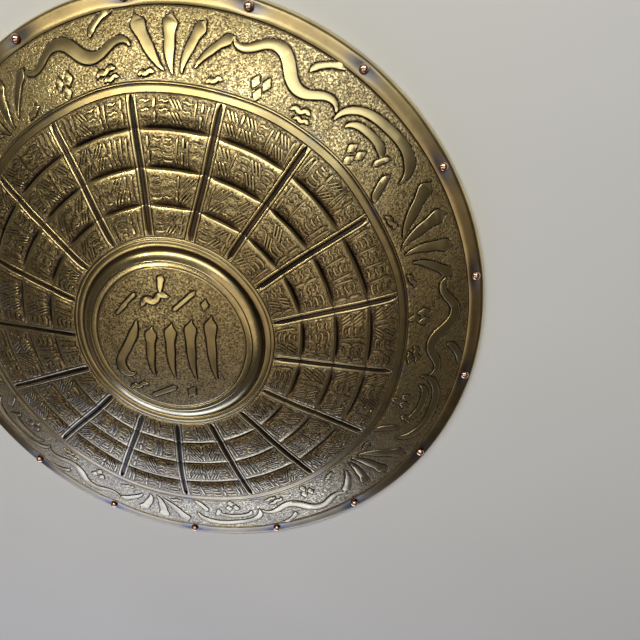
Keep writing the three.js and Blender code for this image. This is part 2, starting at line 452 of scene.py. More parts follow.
@dataclass
class MeshParts:
    """Points, faces and per-point values that become one mesh."""

    points: list[np.ndarray] = field(default_factory=list)
    faces: list[tuple[int, ...]] = field(default_factory=list)
    relief: list[np.ndarray] = field(default_factory=list)
    ground: list[np.ndarray] = field(default_factory=list)
    tint: list[np.ndarray] = field(default_factory=list)
    size: int = 0

    def add(self, points: np.ndarray, relief: np.ndarray, ground: np.ndarray, tint: np.ndarray) -> int:
        """Adds a block of points.

        Args:
            points: Their places in millimetres, one a row.
            relief: How far each stands above or below its surroundings, in millimetres; on the face it also
                carries the painted shade past each row groove.
            ground: The share of stippling at each.
            tint: The share of blue-grey heat tint at each.

        Returns:
            The number of the block's first point.
        """
        first = self.size
        self.points.append(points)
        self.relief.append(relief)
        self.ground.append(ground)
        self.tint.append(tint)
        self.size += len(points)
        return first

    def build(self, name: str, material: bpy.types.Material, crease: float = 38.0) -> bpy.types.Object:
        """Makes the Blender object, with its place in its mesh.

        Args:
            name: The object's name.
            material: Its material.
            crease: The angle in degrees past which an edge stays sharp.

        Returns:
            The object, linked to the scene.
        """
        mesh = bpy.data.meshes.new(name)
        mesh.from_pydata((np.concatenate(self.points) * MM).tolist(), [], self.faces)
        for title, blocks in (("relief", self.relief), ("ground", self.ground), ("tint", self.tint)):
            layer = mesh.attributes.new(title, "FLOAT", "POINT")
            layer.data.foreach_set("value", np.concatenate(blocks).astype(np.float32))
        mesh.materials.append(material)
        mesh.shade_smooth()
        mesh.set_sharp_from_angle(angle=math.radians(crease))
        mesh.validate()
        thing = bpy.data.objects.new(name, mesh)
        bpy.context.scene.collection.objects.link(thing)
        return thing


@dataclass
class Ring:
    """One closed ring of points of the sheet, all with angles that rise from the first groove."""

    radius: float
    turns: np.ndarray
    back: bool = False
    plain_height: float = math.nan


def zip_rings(
    faces: list[tuple[int, ...]], first: int, turns: np.ndarray, then: int, others: np.ndarray
) -> None:
    """Joins two neighbouring rings, whose points may differ in number.

    Args:
        faces: The list that the new faces are added to.
        first: The number of the first ring's first point.
        turns: The first ring's angles.
        then: The number of the second ring's first point.
        others: The second ring's angles.
    """
    count, other_count = len(turns), len(others)
    if count == other_count:
        for step in range(count):
            after = (step + 1) % count
            faces.append((first + step, then + step, then + after, first + after))
        return
    full = 2.0 * math.pi
    ahead = np.append(turns[1:], full).tolist()
    other_ahead = np.append(others[1:], full).tolist()
    step = other = 0
    while step < count or other < other_count:
        if other >= other_count or (step < count and ahead[step] <= other_ahead[other]):
            faces.append((first + step, then + other % other_count, first + (step + 1) % count))
            step += 1
        else:
            faces.append((first + step % count, then + other, then + (other + 1) % other_count))
            other += 1


@dataclass
class SheetPart:
    """A closed part of the brass sheet, face and back: a band between two radii, or the boss."""

    form: ShieldForm
    name: str
    rings: list[Ring]
    pole: bool = False
    grain_depth: float = 0.12
    grain_shake: float = 0.13
    line_tone: float = 3.2
    grain_tone: float = 1.6
    outline_tone: float = 0.36
    back_tone: float = -0.25

    def build(self, material: bpy.types.Material, strokes: "StrokeWork") -> bpy.types.Object:
        """Makes the part's mesh.

        Args:
            material: The brass.
            strokes: The raised strokes, whose outlines are sunk into the stippled ground.

        Returns:
            The finished object.
        """
        parts = MeshParts()
        rng = np.random.default_rng(SEED + len(self.rings))
        radius = np.concatenate([np.full(len(ring.turns), ring.radius) for ring in self.rings])
        turn = np.concatenate([ring.turns for ring in self.rings])
        back = np.concatenate([np.full(len(ring.turns), ring.back) for ring in self.rings])
        plain = np.concatenate([np.full(len(ring.turns), ring.plain_height) for ring in self.rings])
        points, relief, ground, tint = self.surface(radius, turn, back, plain, rng, strokes)
        parts.add(points, relief, ground, tint)
        starts = np.cumsum([0] + [len(ring.turns) for ring in self.rings]).tolist()
        count = len(self.rings)
        for index in range(count - 1 if self.pole else count):
            after = (index + 1) % count
            here, there = self.rings[index].turns, self.rings[after].turns
            zip_rings(parts.faces, starts[index], here, starts[after], there)
        if self.pole:
            self.close_poles(parts, points, starts)
        return parts.build(self.name, material)

    def dress(self, piece: bpy.types.Object) -> None:
        """Rides the part on the body, in place of the plain sheet.

        Args:
            piece: The finished part.
        """
        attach(piece, BODY)
        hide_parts(BODY_NODE)

    def close_poles(self, parts: MeshParts, points: np.ndarray, starts: list[int]) -> None:
        """Closes the first and last rings with a point on the axis.

        Args:
            parts: The mesh being made.
            points: Its points so far.
            starts: The number of each ring's first point.
        """
        for ring, top in ((0, True), (len(self.rings) - 1, False)):
            first, count = starts[ring], len(self.rings[ring].turns)
            middle = points[first : first + count].mean(axis=0)
            zero = np.zeros(1)
            pole = parts.add(middle[None, :], zero, np.ones(1) if top else zero, zero)
            for step in range(count):
                edge = (first + step, first + (step + 1) % count)
                parts.faces.append((pole, *edge) if top else (pole, *edge[::-1]))

    def surface(
        self,
        radius: np.ndarray,
        turn: np.ndarray,
        back: np.ndarray,
        plain: np.ndarray,
        rng: np.random.Generator,
        strokes: "StrokeWork",
    ) -> tuple[np.ndarray, np.ndarray, np.ndarray, np.ndarray]:
        """Places every point of the part.

        Args:
            radius: Each point's distance from the axis.
            turn: Its angle from the first groove.
            back: Whether it lies on the back of the sheet.
            plain: Its height where that is given, or NaN.
            rng: The source of the stippling's randomness.
            strokes: The raised strokes.

        Returns:
            The points, and the relief, stippling and tint at each.
        """
        form = self.form
        angle = turn + form.first_angle
        smooth = form.face(radius, angle)
        engraved = np.where(back, 0.0, form.engraving(radius, angle))
        ground = np.where(back, 0.0, form.ground(radius, angle))
        grain = ground * self.grain_depth * (0.35 - rng.random(len(radius)) ** 1.4)
        shaken = ground > 0.5
        x = radius * np.cos(angle) + shaken * rng.normal(0.0, self.grain_shake, len(radius))
        y = radius * np.sin(angle) + shaken * rng.normal(0.0, self.grain_shake, len(radius))
        x, y, sunk, held = strokes.make_room(x, y, ground)
        grain = np.where(held, 0.0, grain)
        height = smooth - engraved + grain - sunk
        slope = 2.0 * form.dome_rise * radius / form.rim_radius**2
        height = np.where(back, smooth - form.sheet * np.sqrt(1.0 + slope**2), height)
        height = np.where(np.isnan(plain), height, plain)
        # the relief value holds patina and wear, and the painted shade past each row groove
        relief = form.patina_and_painted_shade(radius, angle) - self.line_tone * engraved + self.grain_tone * grain
        relief = relief - self.outline_tone * held
        relief = np.where(back | ~np.isnan(plain), self.back_tone, relief)
        points = form.waver(np.column_stack([x, y, height]))
        points[:, 2] = np.where(np.isnan(plain), points[:, 2], plain)
        tint = np.where(back | ~np.isnan(plain), 0.0, form.stains(radius, angle))
        return points, relief, ground, tint


# ---------------------------------------------------------------------------------------------
# Raised strokes
# ---------------------------------------------------------------------------------------------


class Tip(Enum):
    """How the two ends of a stroke are finished."""

    POINTED = "both ends drawn out to a point"
    BLADE = "a broad slanted head and a drawn-out tail"
    BAR = "both ends cut nearly square"
    LOZENGE = "straight sides from one point to the other"


@dataclass(frozen=True)
class Stroke:
    """A raised ribbon on the face, drawn by how its direction turns from end to end.

    Lengths are in millimetres, in a local plane: u runs clockwise round the shield, v outwards.
    """

    length: float
    half_width: float
    heading: float = 90.0
    curl_in: float = 0.0
    curl_out: float = 0.0
    sway: float = 0.0
    waves: float = 1.0
    tip: Tip = Tip.POINTED
    u: float = 0.0
    v: float = 0.0
    nib: float = math.radians(35.0)

    def path(self, step: float) -> tuple[np.ndarray, np.ndarray]:
        """The middle line and the half width along it.

        Args:
            step: The greatest distance between points.

        Returns:
            The points, centred on (u, v), and the half width at each.
        """
        count = max(7, math.ceil(self.length / step) + 1)
        t = np.linspace(-1.0, 1.0, count)
        turned = self.curl_in * np.clip(-t, 0, 1) ** 2 + self.curl_out * np.clip(t, 0, 1) ** 2
        turned = turned + self.sway * np.sin(math.pi * self.waves * (t + 1.0))
        heading = np.radians(self.heading + turned)
        leg = self.length / (count - 1)
        moves = np.column_stack([np.cos(heading), np.sin(heading)]) * leg
        pen = 0.72 + 0.4 * np.abs(np.sin(heading - self.nib))
        points = np.vstack([np.zeros(2), np.cumsum((moves[1:] + moves[:-1]) / 2.0, axis=0)])
        points += np.array([self.u, self.v]) - (points.max(axis=0) + points.min(axis=0)) / 2.0
        return points, self.half_width * pen * self.outline((t + 1.0) / 2.0)

    def outline(self, share: np.ndarray) -> np.ndarray:
        """The stroke's outline, by its kind of tip.

        Args:
            share: Places along the stroke, from 0 at its start to 1 at its end.

        Returns:
            The half width at each, from 0 to a little over 1 of its full size.
        """
        if self.tip is Tip.BAR:
            return np.clip(0.82 + 0.18 * share, 0, 1) * ramp(share, -0.02, 0.05) * ramp(share, 1.02, 0.95)
        if self.tip is Tip.LOZENGE:
            return np.clip(1.08 - np.abs(2.0 * share - 1.0), 0.0, 1.0)
        if self.tip is Tip.BLADE:
            head = ramp(share, 1.0, 0.84) * (0.8 + 0.35 * ramp(share, 0.62, 0.84))
            return head * np.clip(0.04 + 2.2 * share, 0, 1) ** 0.7
        return np.clip(np.sin(math.pi * np.clip(0.02 + 0.96 * share, 0, 1)) * 1.7, 0, 1) ** 0.8


@dataclass(frozen=True)
class RibbonSection:
    """The section of a raised ribbon with the cut line that outlines it."""

    height: float
    outline_width: float
    bevel: float = 0.7
    outline_depth: float = 0.2
    root_depth: float = 0.5
    bevelled: bool = True

    def offsets(self, half_width: np.ndarray) -> list[tuple[np.ndarray, float, float]]:
        """The section's points from side to side.

        Args:
            half_width: The ribbon's half width at each point of its path.

        Returns:
            For each point of the section: its offset, its height and its relief value.
        """
        cut = half_width + self.outline_width
        bevel = np.minimum(0.35 * half_width, self.bevel)
        side = [
            (cut, -self.root_depth, -1.5),
            (half_width + 0.25 * self.outline_width, -self.outline_depth, -1.6),
            (half_width - bevel, self.height, 0.42),
        ]
        if self.bevelled:
            side.insert(1, (cut - 0.06, -0.02, -1.2))
            side.insert(3, (half_width - 0.45 * bevel, self.height * 0.72, 0.5))
        mirrored = [(-offset, height, relief) for offset, height, relief in reversed(side)]
        return [(-offset, height, relief) for offset, height, relief in side] + [
            (-offset, height, relief) for offset, height, relief in mirrored
        ]


@dataclass
class StrokeWork:
    """All the raised strokes: placed on the face, sunk into the ground, and made as meshes."""

    form: ShieldForm
    section: RibbonSection
    fine_section: RibbonSection
    placed: dict[str, list[tuple[np.ndarray, np.ndarray, bool]]] = field(default_factory=dict)
    tree: KDTree | None = None
    reach: list[float] = field(default_factory=list)
    fine_below: float = 1.6
    draw: float = 0.5
    sink: float = 0.45

    def place(self, group: str, stroke: Stroke, radius: float, turn: float, tilt: float = 0.0) -> None:
        """Lays a stroke on the face round a point given by radius and turn.

        Args:
            group: The piece that the stroke belongs to.
            stroke: The stroke.
            radius: The distance of its local origin from the axis.
            turn: The angle of its local origin from the first groove.
            tilt: For a stroke on the boss, the angle that its plane is turned by, in radians.
        """
        fine = stroke.half_width < self.fine_below
        local, width = stroke.path(1.3 if fine else 1.6)
        if radius > 0.0:
            angle = self.form.first_angle + turn - local[:, 0] / radius
            away = radius + local[:, 1]
            plan = np.column_stack([away * np.cos(angle), away * np.sin(angle)])
        else:
            cos, sin = math.cos(tilt), math.sin(tilt)
            plan = local @ np.array([[cos, sin], [-sin, cos]])
        self.placed.setdefault(group, []).append((plan, width, fine))

    def settle(self) -> None:
        """Gathers points along every stroke, so that the ground can be sunk round them."""
        samples = []
        for plan, widths, fine in (ribbon for group in self.placed.values() for ribbon in group):
            outline = (self.fine_section if fine else self.section).outline_width
            along = np.linspace(0, len(plan) - 1, 4 * len(plan))
            steps = np.arange(len(plan))
            near = [np.interp(along, steps, values).tolist() for values in (*plan.T, widths + outline)]
            samples += list(zip(*near))
        self.tree = KDTree(len(samples))
        for index, (x, y, reach) in enumerate(samples):
            self.tree.insert((x, y, 0.0), index)
            self.reach.append(reach)
        self.tree.balance()

    def make_room(
        self, x: np.ndarray, y: np.ndarray, ground: np.ndarray
    ) -> tuple[np.ndarray, np.ndarray, np.ndarray, np.ndarray]:
        """Draws the ground's points near a stroke onto its outline, and sinks those beneath it.

        Args:
            x: Where the points lie.
            y: Where the points lie.
            ground: The share of stippling; only stippled points are touched.

        Returns:
            The points' new places, the depth that each is sunk by, and which ones lie on an outline.
        """
        depth = np.zeros(len(x))
        held = np.zeros(len(x), bool)
        x, y = x.copy(), y.copy()
        for index in np.nonzero(ground > 0.3)[0].tolist():
            spot, sample, distance = self.tree.find((x[index], y[index], 0.0))
            beyond = distance - self.reach[sample]
            if beyond < -self.draw:
                depth[index] = self.sink
            elif beyond < self.draw and distance > 0.2:
                grow = self.reach[sample] / distance
                x[index] = spot[0] + (x[index] - spot[0]) * grow
                y[index] = spot[1] + (y[index] - spot[1]) * grow
                held[index] = True
        return x, y, depth, held

    def build(self, group: str, material: bpy.types.Material) -> bpy.types.Object:
        """Makes one piece of all the strokes of a group.

        Args:
            group: The group, which names the piece too.
            material: The brass.

        Returns:
            The finished object.
        """
        parts = MeshParts()
        for plan, width, fine in self.placed[group]:
            self.ribbon(parts, plan, width, self.fine_section if fine else self.section)
        return parts.build(group, material, crease=20.0)

    def dress(self, piece: bpy.types.Object) -> None:
        """Rides a piece of strokes on the body; it is extra to the CAD.

        Args:
            piece: The finished piece.
        """
        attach(piece, BODY)

    def ribbon(self, parts: MeshParts, plan: np.ndarray, width: np.ndarray, section: RibbonSection) -> None:
        """Adds one closed ribbon, its outline carried round both tips.

        Args:
            parts: The mesh being made.
            plan: The middle line, seen from above.
            width: The half width at each of its points.
            section: The ribbon's section.
        """
        ahead = np.gradient(plan, axis=0)
        ahead /= np.linalg.norm(ahead, axis=1)[:, None]
        run = section.outline_width
        plan = np.vstack([plan[0] - ahead[0] * run, plan, plan[-1] + ahead[-1] * run])
        ahead = np.vstack([ahead[0], ahead, ahead[-1]])
        side = np.column_stack([-ahead[:, 1], ahead[:, 0]])
        width = np.concatenate([[0.02], width, [0.02]])
        tip = np.zeros(len(width), bool)
        tip[[0, -1]] = True
        low = np.minimum(1.0, width / 0.9)
        blocks, reliefs = [], []
        for offset, height, relief in section.offsets(width):
            offset = np.where(tip, offset * 0.12, offset)
            spot = plan + side * offset[:, None]
            radius = np.hypot(spot[:, 0], spot[:, 1])
            angle = np.arctan2(spot[:, 1], spot[:, 0])
            level = np.where(tip & (height > -section.outline_depth), -section.outline_depth, height)
            level = np.where((level > 0) & ~tip, level * (0.35 + 0.65 * low), level)
            blocks.append(np.column_stack([spot, self.form.face(radius, angle) + level]))
            reliefs.append(np.where(tip, -1.1, np.full(len(tip), relief)))
        points = np.stack(blocks, axis=1)
        rows, columns = points.shape[:2]
        points = self.form.waver(points.reshape(-1, 3))
        zeros = np.zeros(rows * columns)
        first = parts.add(points, np.stack(reliefs, axis=1).reshape(-1), zeros, zeros)
        for row in range(rows - 1):
            for column in range(columns):
                after = (column + 1) % columns
                here, there = first + row * columns, first + (row + 1) * columns
                parts.faces.append((here + column, here + after, there + after, there + column))
        parts.faces.append(tuple(first + column for column in reversed(range(columns))))
        last = first + (rows - 1) * columns
        parts.faces.append(tuple(last + column for column in range(columns)))


@dataclass
class BorderStrokes:
    """The large flourishes, leaves and arcs of the border, in a rhythm of three motifs."""

    work: StrokeWork
    middle: float = 211.0
    group: str = "border_strokes"

    def lay(self) -> None:
        """Lays the strokes round the border."""
        form = self.work.form
        rng = np.random.default_rng(SEED)
        motifs = (self.flourish, self.spray, self.arcs)
        for sector in range(form.sectors):
            turn = (sector + 0.5) * form.sector
            for stroke in motifs[sector % len(motifs)](rng.normal(0.0, 2.5)):
                self.work.place(self.group, stroke, self.middle, turn)

    def lozenges(self, u: float, v: float, lean: float) -> list[Stroke]:
        """Three lozenges, two over one.

        Args:
            u: The place of their middle along the border.
            v: Its place across the border.
            lean: How far the motif leans, in degrees.

        Returns:
            The strokes.
        """
        return [
            Stroke(10.0, 3.3, 78 + 2 * lean, u=u + side, v=v + up, tip=Tip.LOZENGE)
            for side, up in ((-4.1, 2.4), (4.1, 3.0), (0.2, -5.2))
        ]

    def ripple(self, length: float, half_width: float, heading: float, u: float, v: float) -> Stroke:
        """A short waving stroke."""
        return Stroke(length, half_width, heading, sway=42, waves=2, u=u, v=v)

    def flourish(self, lean: float) -> list[Stroke]:
        """A long waving flourish that lies along the border, over lozenges and ripples.

        Args:
            lean: How far the motif leans, in degrees.

        Returns:
            The strokes.
        """
        return [
            Stroke(98, 4.2, 2 + lean, -70, -75, sway=58, waves=1.5, u=-1, v=5),
            self.ripple(19, 2.0, 14, 20, -15.5),
            self.ripple(15, 1.7, 10, 24, -20.5),
            Stroke(24, 3.0, 38, 46, -52, u=21, v=17),
            *self.lozenges(-15, -14, lean),
        ]

    def spray(self, lean: float) -> list[Stroke]:
        """Slanted leaves of falling length that spread from one foot, between two ripples.

        Args:
            lean: How far the motif leans, in degrees.

        Returns:
            The strokes.
        """
        leaves = [
            Stroke(
                44 - 3 * index, 4.5, 122 - 25 * index + lean, 26, -22,
                u=-22 + 15.5 * index, v=2.0 - 1.0 * index, tip=Tip.BLADE,
            )
            for index in range(4)
        ]
        return [*leaves, self.ripple(15, 1.9, 10, -25, -19), self.ripple(15, 1.9, 20, 29, -19)]

    def arcs(self, lean: float) -> list[Stroke]:
        """A broad arc with a smaller one within it, two drops and lozenges.

        Args:
            lean: How far the motif leans, in degrees.

        Returns:
            The strokes.
        """
        return [
            Stroke(86, 3.8, 6 + lean, 84, -98, u=-2, v=5),
            Stroke(40, 3.3, 4 + lean, 70, -66, u=-9, v=-1),
            Stroke(14, 2.3, 70, 20, -30, u=11, v=-3),
            Stroke(22, 2.6, 118, 40, -40, u=27, v=-13),
            *self.lozenges(-8, -15, lean),
        ]


@dataclass(frozen=True)
class Stretch:
    """The part of a panel that one motif fills."""

    u: float
    span: float
    tall: float


@dataclass
class PanelStrokes:
    """Short fine strokes that fill each panel from side to side."""

    work: StrokeWork
    margin: float = 1.6
    half_width: float = 0.86
    least_room: float = 4.0
    overrun: float = 1.2
    spans: tuple[float, ...] = (3.7, 9.2, 8.2, 4.8, 8.6)
    group: str = "panel_strokes"

    def lay(self) -> None:
        """Fills every panel."""
        form = self.work.form
        rng = np.random.default_rng(SEED + 1)
        last_row = len(form.row_edges) - 2
        for row, (low, high) in enumerate(zip(form.row_edges, form.row_edges[1:])):
            plain = 1.4 if row == last_row else form.shoulder_width + 0.6
            bottom, top = low + 1.8, high - plain
            middle = (bottom + top) / 2.0
            room = form.sector * middle - 2.0 * (form.strip_edge + self.margin)
            for sector in range(form.sectors):
                self.fill(rng, middle, (sector + 0.5) * form.sector, room, top - bottom - 1.6)

    def fill(self, rng: np.random.Generator, middle: float, turn: float, room: float, tall: float) -> None:
        """Fills one panel with a run of small motifs, each in its own stretch.

        Args:
            rng: The source of the choice among motifs.
            middle: The radius of the panel's middle.
            turn: The angle of its middle from the first groove.
            room: The length of the run.
            tall: The height of the strokes.
        """
        motifs = (self.blade, self.arches, self.waves, self.drops, self.hatching)
        chosen, used = [], 0.0
        while room - used > self.least_room:
            fitting = [i for i, span in enumerate(self.spans) if span <= room - used + self.overrun]
            if not fitting:
                break
            pick = fitting[int(rng.integers(len(fitting)))]
            if chosen and pick == chosen[-1] and pick != 0:
                continue
            chosen.append(pick)
            used += self.spans[pick]
        cursor = -room / 2.0
        for pick in chosen:
            span = self.spans[pick] * room / used
            for stroke in motifs[pick](rng, Stretch(cursor + span / 2.0, span, tall)):
                self.work.place(self.group, stroke, middle, turn)
            cursor += span

    def blade(self, rng: np.random.Generator, at: Stretch) -> list[Stroke]:
        """One upright blade."""
        heading, rise = 90 + rng.normal(0.0, 3.0), rng.normal(0, 0.3)
        return [Stroke(at.tall * 0.94, self.half_width, heading, 12, -12, u=at.u, v=rise, tip=Tip.BLADE)]

    def arches(self, rng: np.random.Generator, at: Stretch) -> list[Stroke]:
        """Nested arches one over another, all upright or all hanging.

        Args:
            rng: The source of the choice between the two.
            at: Where they lie.

        Returns:
            The strokes.
        """
        side = 1.0 if rng.random() < 0.5 else -1.0
        count = max(3, round(at.tall / 4.4))
        return [
            Stroke(
                at.span * (1.12 - 0.2 * index), self.half_width, 0, 62 * side, -62 * side,
                u=at.u, v=side * at.tall * (0.36 - 0.72 * index / (count - 1)),
            )
            for index in range(count)
        ]

    def waves(self, rng: np.random.Generator, at: Stretch) -> list[Stroke]:
        """Short waves one above another.

        Args:
            rng: The source of each one's slant.
            at: Where they lie.

        Returns:
            The strokes.
        """
        count = max(2, round(at.tall / 5.6))
        return [
            Stroke(
                at.span * 0.98, self.half_width * 0.85, rng.normal(0, 5),
                sway=42 * (-1) ** index, waves=1.6, u=at.u, v=(index - (count - 1) / 2.0) * at.tall / count,
            )
            for index in range(count)
        ]

    def drops(self, rng: np.random.Generator, at: Stretch) -> list[Stroke]:
        """Two upright drops, one over the other.

        Args:
            rng: The source of their lean.
            at: Where they lie.

        Returns:
            The strokes.
        """
        heading = 90 + rng.normal(0.0, 5.0)
        return [
            Stroke(at.tall * 0.44, self.half_width * 1.25, heading, u=at.u, v=place * at.tall * 0.26)
            for place in (-1, 1)
        ]

    def hatching(self, rng: np.random.Generator, at: Stretch) -> list[Stroke]:
        """Three slanted bars over three more with the same slant.

        Args:
            rng: The source of the choice of slant.
            at: Where they lie.

        Returns:
            The strokes.
        """
        lean = 58.0 if rng.random() < 0.5 else 122.0
        return [
            Stroke(
                at.tall * 0.5, self.half_width * 0.9, lean,
                u=at.u + (index - 1) * at.span * 0.3, v=place * at.tall * 0.25, tip=Tip.BAR,
            )
            for place in (-1, 1)
            for index in range(3)
        ]


@dataclass
class BossStrokes:
    """The rows of large strokes on the boss."""

    work: StrokeWork
    tilt: float = math.radians(-7.6)
    group: str = "boss_strokes"

    def lay(self) -> None:
        """Lays the rows: slanted bars and waves above, tall blades across the middle, bars below."""
        tall = [
            Stroke(
                56 - 4.0 * index, 4.1, 92 - 2.0 * index, 12 + 4 * index, -14,
                u=35 - 16.5 * index, v=-3.0 - 2.0 * index, tip=Tip.BLADE,
            )
            for index in range(4)
        ]
        tall.append(Stroke(60, 3.8, 58, 165, 20, u=-34, v=-8))
        upper = [
            Stroke(24, 2.5, 42, u=14, v=35, tip=Tip.BAR),
            Stroke(30, 2.7, 22, sway=48, waves=2, u=-9, v=34),
            Stroke(15, 2.8, 84, 10, -20, u=-3, v=47, tip=Tip.BLADE),
            Stroke(19, 1.9, 44, u=-31, v=32, tip=Tip.BAR),
            Stroke(14, 1.9, 44, u=-37, v=25, tip=Tip.BAR),
        ]
        lower = [
            Stroke(24, 2.9, 26, u=-9, v=-46, tip=Tip.BAR),
            Stroke(20, 1.9, 20, sway=40, waves=2, u=-30, v=-43),
            Stroke(11, 4.2, 60, u=15, v=-44, tip=Tip.LOZENGE),
            Stroke(9, 3.2, 80, u=30, v=33, tip=Tip.LOZENGE),
        ]
        for stroke in (*tall, *upper, *lower):
            self.work.place(self.group, stroke, 0.0, 0.0, self.tilt)


# ---------------------------------------------------------------------------------------------
# Rings of the four parts of the sheet
# ---------------------------------------------------------------------------------------------


def spaced(low: float, high: float, step: float) -> list[float]:
    """Even stations between two ends, both left out, no further apart than step."""
    count = max(1, math.ceil((high - low) / step))
    return [low + (high - low) * index / count for index in range(1, count)]


def even_turns(count: int) -> np.ndarray:
    """The angles of a plain ring."""
    return np.arange(count) * (2.0 * math.pi / count)


@dataclass
class SheetRings:
    """Works out where the rings of each part of the sheet lie."""

    form: ShieldForm
    field_step: float = 0.72
    panel_step: float = 1.1
    border_step: float = 1.04
    grooved_width: float = 9.2
    groove_steps: tuple[float, ...] = (0.0, 0.6, 1.05, 1.5, 1.9, 2.3, 2.7, 3.1, 3.4, 3.8, 4.2)
    back_groove_steps: tuple[float, ...] = (0.0, 1.2, 2.4, 5.5)
    back_of_boss: tuple[float, ...] = (50.0, 38.0, 26.0, 14.0, 5.0)

    def line_stations(self, line: Line) -> list[float]:
        """The stations across an engraved line."""
        return [line.radius - line.half_width, line.radius, line.radius + line.half_width]

    def boss(self) -> list[Ring]:
        """Works out the boss and its flange.

        Returns:
            The rings of the face, from the middle outwards, and then those of the back.
        """
        form = self.form
        field_line, shoulder_line, flange_line = form.lines[:3]
        rings = []
        field_stations = np.arange(1, round(form.boss_field / self.field_step)) * self.field_step
        for radius in field_stations:
            count = max(12, round(2.0 * math.pi * radius / self.field_step))
            rings.append(Ring(float(radius), even_turns(count)))
        stations = self.line_stations(field_line) + self.line_stations(shoulder_line)
        stations += spaced(field_line.radius + 0.6, shoulder_line.radius - 0.6, 0.9)
        width = form.boss_radius - form.boss_field
        bends = np.linspace(math.asin(6.4 / width), math.pi / 2.0, 15)
        stations += [form.boss_field + width * math.sin(bend) for bend in bends]
        flange_end = form.boss_radius + form.channel_width + form.channel_slope
        stations += spaced(form.boss_radius, flange_end, 0.5) + [flange_end, flange_line.radius - 0.45]
        stations.append(flange_line.radius)
        for radius in sorted(stations):
            rings.append(Ring(radius, even_turns(form.sectors * 32)))
        foot = form.boss_radius
        back = [flange_line.radius, flange_end + 0.4, foot + form.channel_width]
        back += [foot - 1.2, foot - 2.4, foot - 5.0, form.boss_field + 2.0, *self.back_of_boss]
        for radius in back:
            rings.append(Ring(radius, even_turns(form.sectors * 8), back=True))
        return rings

    def panel_turns(self, radius: float, middle_count: int) -> np.ndarray:
        """The angles of a ring on the face of the panels."""
        return self.groove_turns(radius, self.groove_steps, middle_count)

    def groove_turns(self, radius: float, near: tuple[float, ...], middle_count: int) -> np.ndarray:
        """The angles of a ring whose points stand close together at the straight grooves.

        Args:
            radius: The ring's radius.
            near: The offsets from a groove that have a point on each side of it.
            middle_count: How many points lie between those of one groove and the next.

        Returns:
            The angles, from the first groove round to it again.
        """
        form = self.form
        arc = form.sector * radius
        middle = np.linspace(near[-1], arc - near[-1], middle_count + 2)[1:-1]
        far = [arc - offset for offset in reversed(near[1:])]
        offsets = np.concatenate([near, middle, far]) / radius
        return np.concatenate([offsets + index * form.sector for index in range(form.sectors)])

    def row(self, low: float, high: float) -> list[Ring]:
        """Works out the face of one row of panels.

        Args:
            low: The radius of its inner edge.
            high: The radius of its outer edge.

        Returns:
            The rings, both edges among them.
        """
        count = round((self.form.sector * (low + high) / 2.0 - self.grooved_width) / self.panel_step)
        stations = [low, low + 0.4, low + 0.9, low + 1.5, low + 2.2]
        stations += spaced(low + 2.2, high - 2.8, self.panel_step)
        stations += [high - 2.8, high - 2.2, high - 1.5, high - 0.9, high - 0.4, high]
        return [Ring(radius, self.panel_turns(radius, count)) for radius in stations]

    def inner_panels(self) -> list[Ring]:
        """Works out the two inner rows of panels, with the edge of the flange.

        Returns:
            The rings of the face and then those of the back.
        """
        start = self.form.lines[2].radius
        edges = self.form.row_edges
        rows = self.row(edges[0], edges[1]) + self.row(edges[1], edges[2])[1:]
        flange = [Ring(radius, rows[0].turns) for radius in (start, start + 0.45, edges[0] - 0.45)]
        return flange + rows + self.back_of_panels(start, edges[2])

    def outer_panels(self) -> list[Ring]:
        """Works out the two outer rows of panels, with the plain ring round them.

        Returns:
            The rings of the face and then those of the back.
        """
        edges = self.form.row_edges
        end = self.form.ring_outer
        rows = self.row(edges[2], edges[3]) + self.row(edges[3], edges[4])[1:]
        stations = (edges[4] + 0.45, edges[4] + 2.0, end - 2.0, end - 0.5, end)
        plain = [Ring(radius, rows[-1].turns) for radius in stations]
        return rows + plain + self.back_of_panels(edges[2], end)

    def back_of_panels(self, low: float, high: float) -> list[Ring]:
        """Works out the back of a part of the panel band.

        Args:
            low: The radius of its inner edge.
            high: The radius of its outer edge.

        Returns:
            The rings, from the outer edge inwards.
        """
        stations = [radius for radius in self.back_stations() if low < radius < high]
        stations = [high, *reversed(stations), low]
        return [Ring(radius, self.back_turns(radius), back=True) for radius in stations]

    def back_stations(self) -> list[float]:
        """Spaces the back of the panel band, more closely at the row grooves.

        Returns:
            The radii, from the inside outwards.
        """
        stations = []
        for edge in self.form.row_edges[1:-1]:
            stations += [edge - 2.6, edge, edge + 3.0]
        stations += [edge + 6.5 for edge in self.form.row_edges[:-1]]
        stations += [edge - 7.0 for edge in self.form.row_edges[1:]]
        stations += [self.form.row_edges[0], self.form.row_edges[-1]]
        return sorted(stations)

    def back_turns(self, radius: float) -> np.ndarray:
        """The angles of a ring on the back of the panel band."""
        return self.groove_turns(radius, self.back_groove_steps, 4)

